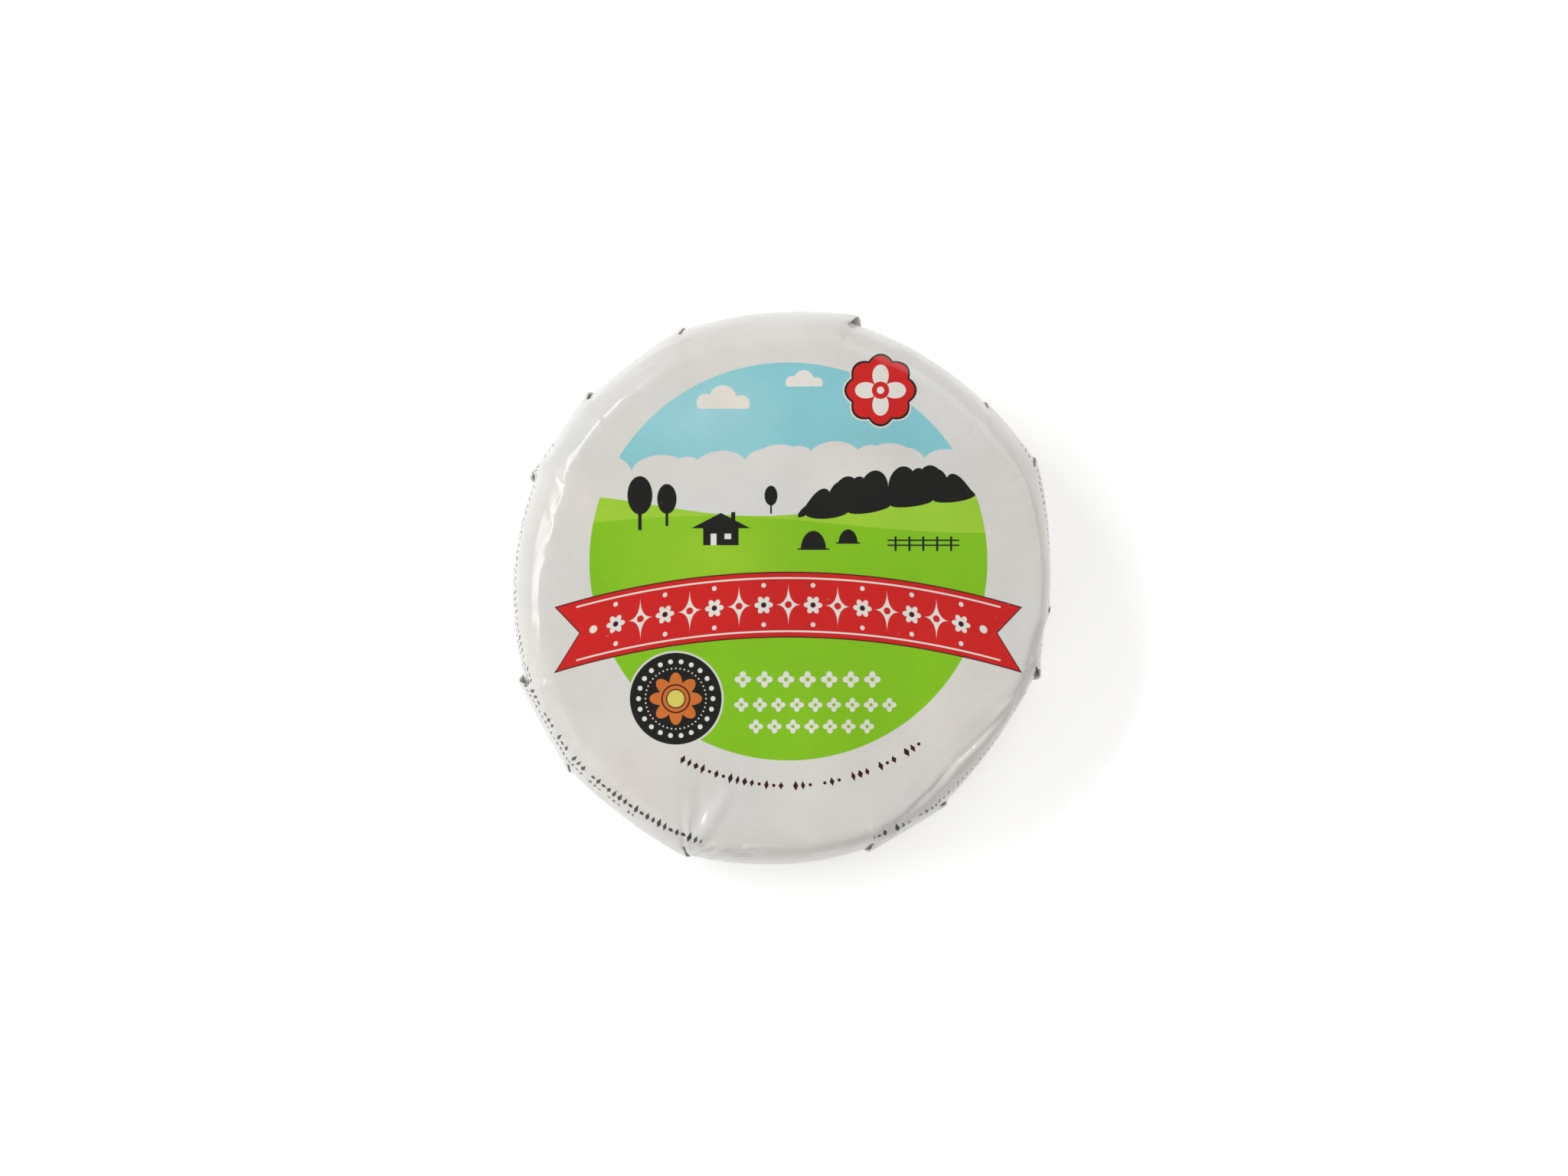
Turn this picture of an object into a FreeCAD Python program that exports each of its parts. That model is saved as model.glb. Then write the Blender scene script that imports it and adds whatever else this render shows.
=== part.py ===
"""A round soft cheese, shut in its pleated paper wrap. Millimetres, +Z up, the label's top towards +Y.

The wrap is pulled down over the shoulder of the cheese and folded under it. Between two pleats the paper
is one taut panel. At a pleat the higher panel laps over the lower one, and its fold stands off as an ear.
"""
import FreeCAD, Part
import math
import os

# Overall sizes
PANEL_RADIUS = 70.8       # plan radius of a panel that has no rise
PACK_HEIGHT = 34.0

# Profile of a panel, from the flat top down to the flat underside
EDGE_DROP = 1.6           # height that the tight bend over the top's edge takes
SLOPE_DROP = 15.0         # height from the top to where the slope under that edge has turned into the side
SIDE_BULGE = 0.6          # how far the middle of the side stands out past the slope's foot
BASE_ROUND = 6.0          # height of the rounded lower edge
BASE_TUCK = 6.5           # how far the underside's flat face stays inside the side

# Pleats
FOLD_STEP = 0.45          # step of the lapped paper where a pleat starts and where it goes under
FOLD_SLANT = 4.2          # how far a fold line drifts sideways from the shoulder to the lower edge
FOLD_EDGE = 0.9           # plan width of the sloping edge of a fold

# One row for each pleat, counter-clockwise: its direction in degrees, then the rise over PANEL_RADIUS of the
# panel that ends there, of the panel that starts there and of that new panel's middle, and last the plan
# width of the new panel's shoulder.
PLEATS = (
    (25.0, 4.8, 4.1, 3.0, 4.2),
    (40.0, 2.4, 1.9, 1.3, 6.0),
    (76.0, 1.4, 4.0, 1.8, 7.6),
    (112.5, 1.8, 2.6, 0.5, 8.6),
    (136.5, 0.4, 1.7, 0.4, 9.2),
    (154.0, 1.8, 0.1, -0.2, 9.2),
    (201.5, 0.9, 2.8, 1.9, 8.4),
    (219.0, 3.2, 2.6, 2.4, 7.4),
    (249.0, 4.3, 3.6, 2.0, 6.2),
    (290.5, 1.4, 2.7, 1.2, 5.0),
    (305.5, 1.6, 0.6, -1.0, 6.6),
    (343.0, 0.3, 2.0, -0.2, 4.4),
    (354.0, 0.7, 0.3, 1.5, 3.4),
)

# How much of a panel's rise shows at the top edge, on the side and at the lower edge
RISE_AT_TOP = 0.45
RISE_AT_BASE = 0.75

ACROSS_POLES = 7          # poles across a panel
DEGREE = 3


def profile():
    """The poles of a panel's profile, top to bottom: (share of the shoulder's width, fixed inset, height,
    share of the rise, share of the height gone down)."""
    foot = PACK_HEIGHT - SLOPE_DROP
    below_edge = PACK_HEIGHT - EDGE_DROP
    rise_on_slope = (1.0 + RISE_AT_TOP) / 2.0
    rise_under = (1.0 + RISE_AT_BASE) / 2.0
    rows = (
        (1.0, 0.0, PACK_HEIGHT, RISE_AT_TOP),
        (0.86, 0.0, PACK_HEIGHT, RISE_AT_TOP),
        (0.46, 0.0, below_edge, RISE_AT_TOP),
        (0.2, 0.0, below_edge - 0.4 * (below_edge - foot), rise_on_slope),
        (0.04, 0.0, foot, 1.0),
        (0.0, -SIDE_BULGE, (foot + BASE_ROUND) / 2.0, 1.0),
        (0.0, 0.0, BASE_ROUND, 1.0),
        (0.0, 0.12 * BASE_TUCK, 0.3 * BASE_ROUND, rise_under),
        (0.0, 0.5 * BASE_TUCK, 0.0, RISE_AT_BASE),
        (0.0, BASE_TUCK, 0.0, RISE_AT_BASE),
    )
    return [row + (1.0 - row[2] / PACK_HEIGHT,) for row in rows]


def through_three(start, middle, end, share):
    """The parabola through start, middle and end, at shares 0, 0.5 and 1."""
    return (
        start * (1.0 - share) * (1.0 - 2.0 * share)
        + middle * 4.0 * share * (1.0 - share)
        + end * share * (2.0 * share - 1.0)
    )


def clamped_knots(poles, degree):
    """Knots and multiplicities of an evenly spaced spline that ends on its end poles."""
    spans = poles - degree
    knots = [i / spans for i in range(spans + 1)]
    return knots, [degree + 1] + [1] * (spans - 1) + [degree + 1]


def pole_shares(poles, degree):
    """Where the poles of such a spline belong along it, from 0 to 1."""
    knots, counts = clamped_knots(poles, degree)
    full = [knot for knot, count in zip(knots, counts) for _ in range(count)]
    return [sum(full[i + 1 : i + 1 + degree]) / degree for i in range(poles)]


def lean(pleat):
    """1 where the panel that ends at the pleat laps over the next one, and -1 the other way round."""
    return 1.0 if pleat[1] > pleat[2] else -1.0


def fold_angle(pleat, side, gone_down, radius):
    """Direction, in radians, of a panel's end (side -1) or start (side 1) at a pleat, at one level."""
    drift = lean(pleat) * FOLD_SLANT * gone_down + side * FOLD_EDGE / 2.0
    return math.radians(pleat[0]) + drift / radius


def step_rise(rise, other, share):
    """A panel's rise at a pleat, at a level that shows this share of it, kept clear of the other panel's."""
    shown, other_shown = rise * share, other * share
    gap = abs(shown - other_shown)
    if gap >= FOLD_STEP:
        return shown
    return shown + math.copysign((FOLD_STEP - gap) / 2.0, rise - other)


def panel_poles(pleat, following):
    """The panel's grid of poles, one list for each pole of its profile."""
    shoulder = pleat[4]
    rows = []
    for width_share, inset, height, rise_share, gone_down in profile():
        start = step_rise(pleat[2], pleat[1], rise_share)
        end = step_rise(following[1], following[2], rise_share)
        middle = pleat[3] * rise_share
        first = fold_angle(pleat, 1.0, gone_down, PANEL_RADIUS)
        last = fold_angle(following, -1.0, gone_down, PANEL_RADIUS)
        if last < first:
            last += 2.0 * math.pi
        row = []
        for share in pole_shares(ACROSS_POLES, DEGREE):
            radius = PANEL_RADIUS + through_three(start, middle, end, share)
            blend = 0.5 - 0.5 * math.cos(math.pi * share)
            width = shoulder + (following[4] - shoulder) * blend
            radius -= width_share * width + inset
            angle = first + (last - first) * share
            row.append(FreeCAD.Vector(radius * math.cos(angle), radius * math.sin(angle), height))
        rows.append(row)
    return rows


def spline_face(rows, across_degree):
    """A face on the spline surface of these poles: rows run down the profile, across_degree runs sideways."""
    down_knots, down_counts = clamped_knots(len(rows), DEGREE)
    across_knots, across_counts = clamped_knots(len(rows[0]), across_degree)
    surface = Part.BSplineSurface()
    surface.buildFromPolesMultsKnots(
        rows, down_counts, across_counts, down_knots, across_knots, False, False, DEGREE, across_degree
    )
    return surface.toShape()


def spline_edge(row, degree):
    """The edge of such a face along one row of poles."""
    knots, counts = clamped_knots(len(row), degree)
    curve = Part.BSplineCurve()
    curve.buildFromPolesMultsKnots(row, counts, knots, False, degree)
    return curve.toShape()


def wrapped_cheese():
    """The shut pack as one solid, with its bounding box centred on the Z axis."""
    count = len(PLEATS)
    panels = [panel_poles(PLEATS[i], PLEATS[(i + 1) % count]) for i in range(count)]
    faces = []
    rims = {0: [], -1: []}
    for i, rows in enumerate(panels):
        following = panels[(i + 1) % count]
        fold = [[here[-1], there[0]] for here, there in zip(rows, following)]
        faces.append(spline_face(rows, DEGREE))
        faces.append(spline_face(fold, 1))
        for rim, edges in rims.items():
            edges.append(spline_edge(rows[rim], DEGREE))
            edges.append(spline_edge(fold[rim], 1))
    for edges in rims.values():
        faces.append(Part.Face(Part.Wire(Part.__sortEdges__(edges))))
    shell = Part.Shell(faces)
    shell.sewShape()
    solid = Part.Solid(shell)
    if solid.Volume < 0.0:
        solid.reverse()
    box = solid.optimalBoundingBox(False, False)
    solid.translate(FreeCAD.Vector(-box.Center.x, -box.Center.y, -box.ZMin))
    return solid


os.makedirs("parts", exist_ok=True)
pack = wrapped_cheese()
pack.exportStep("parts/wrapped_cheese.step")
print("wrapped_cheese valid", pack.isValid(), "closed", pack.Shells[0].isClosed(), "faces", len(pack.Faces))
print("volume cm3", round(pack.Volume / 1000.0, 1), "box", pack.optimalBoundingBox(False, False))
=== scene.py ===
"""A round soft cheese, shut in its printed and pleated paper wrap: the folded paper, its print and its gloss.

Lengths in this file are millimetres where a name or comment says nothing else. A finished mesh is in metres.
"""
import bpy
import math
import numpy as np
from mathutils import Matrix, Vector


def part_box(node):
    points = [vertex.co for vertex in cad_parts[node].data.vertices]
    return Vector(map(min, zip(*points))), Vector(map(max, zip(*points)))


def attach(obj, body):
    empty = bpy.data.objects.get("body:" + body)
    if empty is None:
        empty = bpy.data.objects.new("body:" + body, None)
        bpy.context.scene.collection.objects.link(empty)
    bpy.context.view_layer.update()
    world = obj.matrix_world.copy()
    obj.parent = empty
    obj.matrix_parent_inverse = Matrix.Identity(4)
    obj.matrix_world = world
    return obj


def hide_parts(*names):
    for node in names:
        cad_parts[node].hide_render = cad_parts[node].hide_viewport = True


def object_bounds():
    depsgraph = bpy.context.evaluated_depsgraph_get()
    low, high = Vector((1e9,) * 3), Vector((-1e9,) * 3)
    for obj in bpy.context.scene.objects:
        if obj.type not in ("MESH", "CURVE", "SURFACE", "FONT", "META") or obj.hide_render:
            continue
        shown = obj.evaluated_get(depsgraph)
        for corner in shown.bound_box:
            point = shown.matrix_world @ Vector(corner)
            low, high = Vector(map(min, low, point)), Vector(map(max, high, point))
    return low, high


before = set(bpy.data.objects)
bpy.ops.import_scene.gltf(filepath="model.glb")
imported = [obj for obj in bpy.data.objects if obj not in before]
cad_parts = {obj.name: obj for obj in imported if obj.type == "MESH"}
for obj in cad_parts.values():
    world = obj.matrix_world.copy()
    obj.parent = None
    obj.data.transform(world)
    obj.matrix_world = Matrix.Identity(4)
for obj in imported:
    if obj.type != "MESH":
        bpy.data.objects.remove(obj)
cad_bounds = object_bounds()

MM = 0.001
SEED = 11

# -------- the pack, as the CAD model has it

CAD_BOX = np.array(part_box("wrapped_cheese")) / MM
PANEL_RADIUS = 70.8
PACK_HEIGHT = CAD_BOX[1, 2] - CAD_BOX[0, 2]
EDGE_DROP = 1.6
SLOPE_DROP = 15
SIDE_BULGE = 0.6
BASE_ROUND = 6
BASE_TUCK = 6.5
FOLD_STEP = 0.45
FOLD_SLANT = 4.2
RISE_AT_TOP = 0.45
RISE_AT_BASE = 0.75

# One row for each pleat, counter-clockwise: direction in degrees, rise of the panel that ends there, of the
# panel that starts there and of that new panel's middle, and the plan width of the new panel's shoulder.
PLEATS = np.array((
    (25, 4.8, 4.1, 3, 4.2),
    (40, 2.4, 1.9, 1.3, 6),
    (76, 1.4, 4, 1.8, 7.6),
    (112.5, 1.8, 2.6, 0.5, 8.6),
    (136.5, 0.4, 1.7, 0.4, 9.2),
    (154, 1.8, 0.1, -0.2, 9.2),
    (201.5, 0.9, 2.8, 1.9, 8.4),
    (219, 3.2, 2.6, 2.4, 7.4),
    (249, 4.3, 3.6, 2, 6.2),
    (290.5, 1.4, 2.7, 1.2, 5),
    (305.5, 1.6, 0.6, -1, 6.6),
    (343, 0.3, 2, -0.2, 4.4),
    (354, 0.7, 0.3, 1.5, 3.4),
))
DIRECTION, ENDING, STARTING, MIDDLE, SHOULDER = PLEATS.T
PLEAT_COUNT = len(PLEATS)
LEAN = np.where(ENDING > STARTING, 1, -1)          # 1: the panel that ends laps over the next one
PANEL_MIDDLE = np.radians((DIRECTION + np.append(DIRECTION[1:], DIRECTION[0] + 360)) / 2)

# -------- the folded paper

COLUMN_STEP = 0.8          # distance between two columns of the mesh along a panel
TOP_RINGS = 32
UNDER_RINGS = 16
TOP_CROWDING = 1.35        # above 1: the rings of the flat faces crowd towards their edges
UNDER_CROWDING = 1.2
PROFILE_SAMPLES = 4000
RING_STEPS = ((0, 0.33), (5, 0.4), (20, 0.65), (33, 0.85), (50, 0.75))             # (way down, spacing)
USUAL_SHOULDER = 5.2       # shoulder width used for the length of the profile and its slope

FOLD_REACH = 2.2           # how far a fold's columns reach over the upper panel
FOLD_CLEAR = 1.3           # how far they reach over the lower one
FOLD_LAYERS = 0.5          # least thickness of the lapped layers
FOLD_EDGE = (0.3, 0.3)     # bend of the free edge, at most: a radius, and a share of the depth
FOLD_ROOT = (0.1, 0.12)    # the same at the hidden root
FOLD_GAP = 0.05            # share of the depth by which the layers part towards the root
TUCK_SHARE = 0.6           # share of a panel's width that slopes down to where its neighbour laps over it
# Way down from the top's edge over which each pleat closes from a soft dent to a flat lap.
FOLD_STARTS = np.array((
    (9, 13), (13, 17), (8, 12), (12.5, 16.5), (13.5, 17.5), (17, 21), (9.5, 14),
    (12, 16), (8, 12), (8.5, 12.5), (13, 17), (3.5, 8), (10, 14),
))
# Roundness of the bend at the top's edge: direction in degrees, half the length of paper that it takes.
BEND = np.array((
    (0, 2.6), (25, 3.2), (60, 4.5), (95, 4.5), (120, 1.6), (138, 0.7), (150, 1.2),
    (158, 6), (168, 6.5), (176, 3.2), (192, 3.4), (201, 3.4), (212, 5.4), (228, 5.4),
    (243, 4.6), (249, 3.8), (275, 3.8), (295, 2), (325, 1.4), (345, 1.6),
))
BEND_REACH = 14            # way down to which that roundness can reach
BEND_RINGS = 8             # rings on the top, next to its edge, that it can reach
BEND_SAMPLES = 9
# Direction in degrees and width of the strip pressed flat along the top's edge, and its tilt.
FACET = np.array((
    (0, 0), (142, 0), (156, 4.2), (171, 4.2), (178, 2.4), (190, 2), (199, 0),
))
FACET_TILT = math.radians(23)
PINCH = (4, 12)            # radii between which the pleats fade out at the middle of the underside


def smooth(low, high, value):
    """A soft step from 0 at low to 1 at high."""
    share = np.clip((value - low) / (high - low), 0, 1)
    return share * share * (3 - 2 * share)


def profile_poles():
    """Share of the shoulder's width, fixed inset, height and share of the rise, from the top's edge down."""
    foot = PACK_HEIGHT - SLOPE_DROP
    below_edge = PACK_HEIGHT - EDGE_DROP
    rise_on_slope = (1 + RISE_AT_TOP) / 2
    rise_under = (1 + RISE_AT_BASE) / 2
    return np.array((
        (1, 0, PACK_HEIGHT, RISE_AT_TOP),
        (0.86, 0, PACK_HEIGHT, RISE_AT_TOP),
        (0.46, 0, below_edge, RISE_AT_TOP),
        (0.2, 0, below_edge - 0.4 * (below_edge - foot), rise_on_slope),
        (0.04, 0, foot, 1),
        (0, -SIDE_BULGE, (foot + BASE_ROUND) / 2, 1),
        (0, 0, BASE_ROUND, 1),
        (0, 0.12 * BASE_TUCK, 0.3 * BASE_ROUND, rise_under),
        (0, 0.5 * BASE_TUCK, 0, RISE_AT_BASE),
        (0, BASE_TUCK, 0, RISE_AT_BASE),
    ))


def spline_shares(poles, places):
    """How much of each pole an evenly spaced cubic spline takes at each place from 0 to 1."""
    spans = poles - 3
    knots = np.clip(np.arange(-3, spans + 4), 0, spans) / spans
    place = np.minimum(places, 1 - 1e-9)[:, None]
    shares = ((place >= knots[:-1]) & (place < knots[1:])).astype(float)
    for order in (1, 2, 3):
        length = np.maximum(knots[order:] - knots[:-order], 1e-9)
        up = (place - knots[: -order - 1]) / length[:-1]
        down = (knots[order + 1 :] - place) / length[1:]
        shares = up * shares[:, :-1] + down * shares[:, 1:]
    return shares


class Rings:
    """What is the same all round each ring of the mesh, from the middle of the top to that of the base."""

    def __init__(self):
        poles = profile_poles()
        fine = np.linspace(0, 1, PROFILE_SAMPLES)
        rows = spline_shares(len(poles), fine) @ poles
        out = -rows[:, 0] * USUAL_SHOULDER - rows[:, 1]
        down = -rows[:, 2]
        run = np.concatenate(([0], np.cumsum(np.hypot(np.diff(out), np.diff(down)))))
        crowd = np.cumsum(1 / np.interp(run, *np.transpose(RING_STEPS)) * np.gradient(run))
        count = int(crowd[-1])
        at = np.interp(np.linspace(crowd[0], crowd[-1], count), crowd, fine)
        slope_out, slope_down = (np.interp(at, fine, np.gradient(way, fine)) for way in (out, down))
        length = np.hypot(slope_out, slope_down)
        rows = spline_shares(len(poles), at) @ poles
        top_share = 1 - (np.arange(TOP_RINGS, 0, -1) / TOP_RINGS) ** TOP_CROWDING
        under_share = 1 - (np.arange(1, UNDER_RINGS + 1) / UNDER_RINGS) ** UNDER_CROWDING

        def whole(top, side, under):
            return np.concatenate((top * np.ones(TOP_RINGS), side, under * np.ones(UNDER_RINGS)))

        self.share = whole(top_share, np.ones(count), under_share)      # share of the profile's radius
        self.width = whole(1, rows[:, 0], 0)
        self.inset = whole(0, rows[:, 1], BASE_TUCK)
        self.height = whole(PACK_HEIGHT, rows[:, 2], 0)
        self.rise = whole(RISE_AT_TOP, rows[:, 3], RISE_AT_BASE)
        self.out = whole(0, slope_down / length, 0)                     # normal, away from the axis
        self.up = whole(1, slope_out / length, -1)
        self.run = whole(0, np.interp(at, fine, run), run[-1])          # way down from the top's edge
        inward = (1 - under_share) * (PANEL_RADIUS - BASE_TUCK)
        self.way = self.run + whole(0, np.zeros(count), inward)         # the same, and on along the underside
        self.gone_down = 1 - self.height / PACK_HEIGHT
        self.number = np.arange(len(self.share))[:, None]               # to pick a value for each ring
        radius = PANEL_RADIUS - self.inset
        closed = smooth(*FOLD_STARTS.T, self.run[:, None])
        self.closed = closed * smooth(*PINCH, radius * self.share)[:, None]    # ring by pleat


def step_rise(rise, other, share):
    """A panel's rise at a pleat, kept a fold's step clear of the other panel's."""
    shown, other_shown = rise * share, other * share
    gap = np.abs(shown - other_shown)
    return shown + np.where(gap < FOLD_STEP, np.sign(rise - other) * (FOLD_STEP - gap) / 2, 0)


class Panels:
    """The smooth surface of each panel between two pleats."""

    def __init__(self, rings):
        self.rings = rings
        lines = np.radians(DIRECTION) + LEAN * FOLD_SLANT * rings.gone_down[:, None] / PANEL_RADIUS
        self.line = np.concatenate((lines, lines[:, :1] + 2 * math.pi), axis=1)     # fold lines, ring by ring
        share = rings.rise[:, None]
        self.first = step_rise(STARTING, ENDING, share)
        self.last = np.roll(step_rise(ENDING, STARTING, share), -1, axis=1)
        step = np.abs(self.first - np.roll(self.last, 1, axis=1)) * rings.out[:, None]
        self.extra = np.maximum(0, FOLD_LAYERS - step) * rings.closed       # more depth for the layers
        self.depth = step + self.extra

    def radius(self, panel, share):
        """Distance from the axis. Panel and share hold one value for each column, or ring by column."""
        rings = self.rings
        start, end = self.first[rings.number, panel], self.last[rings.number, panel]
        middle = MIDDLE[panel] * rings.rise[:, None]
        rise = (
            start * (1 - share) * (1 - 2 * share)
            + middle * 4 * share * (1 - share)
            + end * share * (2 * share - 1)
        )
        after = (panel + 1) % PLEAT_COUNT
        blend = 0.5 - 0.5 * np.cos(math.pi * share)
        shoulder = SHOULDER[panel] + (SHOULDER[after] - SHOULDER[panel]) * blend
        return PANEL_RADIUS + rise - rings.width[:, None] * shoulder - rings.inset[:, None]

    def tuck(self, panel, share):
        """How deep a panel lies at its ends, where its neighbour laps over it."""
        after = (panel + 1) % PLEAT_COUNT
        first, last = (self.extra[self.rings.number, pleat] for pleat in (panel, after))
        return (
            (LEAN[panel] > 0) * first * (1 - smooth(0, TUCK_SHARE, share))
            + (LEAN[after] < 0) * last * (1 - smooth(0, TUCK_SHARE, 1 - share))
        )

    def share_at(self, panel, angle):
        """Share of the way across the panel, for an angle at each ring."""
        first, last = (self.line[self.rings.number, pleat] for pleat in (panel, panel + 1))
        return (angle - first) / (last - first)


# The columns of one fold, from the upper panel round its free edge and root to the lower panel. Each row of
# FOLD: the part of the fold, then the share gone through in that part.
FOLD_COLUMNS = {"upper": 3, "edge": 5, "back": 3, "root": 3, "lower": 4}
FOLD = [(part, (k + 0.5) / count) for part, count in FOLD_COLUMNS.items() for k in range(count)]


def fold_places(panels):
    """Place of each column of a fold: sideways distance from the free edge and depth, ring by pleat."""
    depth = panels.depth
    lap = 2 * FOLD_SLANT * panels.rings.gone_down[:, None] * np.ones(PLEAT_COUNT)
    edge, root = (np.minimum(radius, share * depth) for radius, share in (FOLD_EDGE, FOLD_ROOT))
    beneath = 2 * edge + FOLD_GAP * depth
    places = []
    for part, share in FOLD:
        turn = math.pi * (0.5 - share)             # round a half circle
        if part == "upper":
            place = (-FOLD_REACH + (FOLD_REACH - edge) * share, 0 * depth)
        elif part == "edge":
            place = (-edge + edge * math.cos(turn), edge * (1 - math.sin(turn)))
        elif part == "back":
            place = (-edge - (lap - root - edge) * share, 2 * edge + FOLD_GAP * depth * share)
        elif part == "root":
            place = (-(lap - root) - root * math.cos(turn), beneath + root * (1 - math.sin(turn)))
        else:
            reach = lap - root + FOLD_CLEAR
            sunk = beneath + 2 * root
            place = (-(lap - root) + reach * share, sunk + (depth - sunk) * smooth(0, 0.85, share))
        places.append(place)
    return places


class Sheet:
    """The whole wrap as rings of points: angle, radius, height, angle on the flat sheet, and how hidden."""

    def __init__(self):
        self.rings = Rings()
        self.panels = Panels(self.rings)
        pieces = [part(pleat) for pleat in range(PLEAT_COUNT) for part in (self.fold, self.panel)]
        self.angle, self.radius, self.height, self.sheet_angle, self.hidden = np.concatenate(pieces, axis=2)
        self.flat_radius = self.radius.copy()
        self.heading = np.degrees(self.angle[TOP_RINGS]) % 360
        self.round_bend()
        self.press_facet()

    def round_bend(self):
        """Eases the bend at the top's edge: each point becomes a mean of the paper just above and below."""
        half = np.interp(self.heading, *BEND.T, period=360)
        run = self.rings.run
        on_top = np.where(run[:, None] > 0, 0, self.flat_radius - self.flat_radius[TOP_RINGS])
        way = run[:, None] + on_top
        last = int(np.searchsorted(run, BEND_REACH))
        eased = slice(TOP_RINGS - BEND_RINGS, last)
        known = slice(last + BEND_RINGS)
        steps = np.linspace(-1, 1, BEND_SAMPLES)
        weights = 0.5 + 0.5 * np.cos(math.pi * steps)
        for values in (self.radius, self.height):
            sharp = values.copy()
            for column, reach in enumerate(half):
                places = way[eased, column][:, None] + steps * reach
                found = np.interp(places, way[known, column], sharp[known, column])
                values[eased, column] = found @ weights / weights.sum()

    def press_facet(self):
        """Flattens a narrow strip along the top's edge, about where the paper tilts by FACET_TILT."""
        widths = np.interp(self.heading, *FACET.T, period=360)
        last = int(np.searchsorted(self.rings.run, BEND_REACH))
        for column in np.flatnonzero(widths > 0.1):
            radius, height = self.radius[:last, column], self.height[:last, column]
            fall, out = -np.diff(height), np.diff(radius)
            way = np.concatenate(([0], np.cumsum(np.hypot(fall, out))))
            tilt = np.arctan2(fall, out)
            past = int(np.argmax(tilt > FACET_TILT))
            between = 0.5 * (way[1:] + way[:-1])
            middle = np.interp(FACET_TILT, tilt[past - 1 : past + 1], between[past - 1 : past + 1])
            ends = middle + widths[column] * np.array((-0.5, 0.5))
            inside = (way > ends[0]) & (way < ends[1])
            for values in (radius, height):
                values[inside] = np.interp(way[inside], ends, np.interp(ends, way, values))

    def surface(self, panel, angle):
        """Angle, radius, height and sheet angle on a panel, for an angle at each ring and column."""
        rings = self.rings
        share = np.clip(self.panels.share_at(panel, angle), 0, 1)
        radius = self.panels.radius(panel, share)
        sheet_radius = radius[TOP_RINGS] + rings.way[:, None]
        radius = radius * rings.share[:, None]
        tuck = self.panels.tuck(panel, share)
        # A panel keeps its width as it goes down, while the flat sheet would fan out.
        shrink = np.where(rings.run[:, None] > 0, radius / sheet_radius, 1)
        sheet = PANEL_MIDDLE[panel] + (angle - PANEL_MIDDLE[panel]) * shrink
        height = rings.height[:, None] - tuck * rings.up[:, None]
        return np.stack((angle, radius - tuck * rings.out[:, None], height, sheet))

    def panel(self, panel):
        """Columns between two folds."""
        after = panel + 1
        clear_first = FOLD_REACH if LEAN[panel] < 0 else FOLD_CLEAR
        clear_last = FOLD_REACH if LEAN[after % PLEAT_COUNT] > 0 else FOLD_CLEAR
        first = self.panels.line[:, panel] + clear_first / PANEL_RADIUS
        last = self.panels.line[:, after] - clear_last / PANEL_RADIUS
        count = max(2, round((last - first).mean() * PANEL_RADIUS / COLUMN_STEP))
        angle = first[:, None] + (last - first)[:, None] * np.linspace(0, 1, count)
        return np.concatenate((self.surface(np.full(count, panel), angle), np.zeros((1, *angle.shape))))

    def pair_at(self, pleat, angle):
        """The surface of the upper and of the lower panel, at one angle for each ring near their pleat."""
        pair = (pleat - 1, pleat) if LEAN[pleat] > 0 else (pleat, pleat - 1)
        found = []
        for panel in pair:
            circle = 2 * math.pi if panel < 0 else 0             # the last panel ends at the first pleat
            point = self.surface(np.array([panel % PLEAT_COUNT]), (angle + circle)[:, None])[..., 0]
            point[[0, 3]] -= circle
            found.append(point)
        return found

    def fold(self, pleat):
        """Columns of the fold at one pleat: open high up, lapped where the pleat has closed."""
        rings = self.rings
        line = self.panels.line[:, pleat]
        closed = rings.closed[:, pleat]
        inward = np.stack((0 * line, rings.out, rings.up, 0 * line))
        edge, root = self.pair_at(pleat, line)
        columns = []
        for number, (side, depth) in enumerate(fold_places(self.panels)):
            part = FOLD[number][0]
            share = (number + 0.5) / len(FOLD)
            open_side = -FOLD_REACH + (FOLD_REACH + FOLD_CLEAR) * share
            upper, lower = self.pair_at(pleat, line + LEAN[pleat] * open_side / PANEL_RADIUS)
            sunk = smooth(0, 1, share)
            opened = upper * (1 - sunk) + lower * sunk
            over, under = self.pair_at(pleat, line + LEAN[pleat] * side[:, pleat] / PANEL_RADIUS)
            lapped = over - depth[:, pleat] * inward
            if part != "upper":
                turned = (number - FOLD_COLUMNS["upper"] + 0.5) / (len(FOLD) - FOLD_COLUMNS["upper"])
                lapped[3] = edge[3] * (1 - turned) + root[3] * turned
            if part == "lower":
                lapped = np.where(side[:, pleat] > 0, under, lapped)
            column = opened * (1 - closed) + lapped * closed
            columns.append(np.vstack((column, closed * (part in ("back", "root")))))
        if LEAN[pleat] < 0:
            columns.reverse()
        return np.stack(columns, axis=-1)


# -------- creases of the paper

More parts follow.
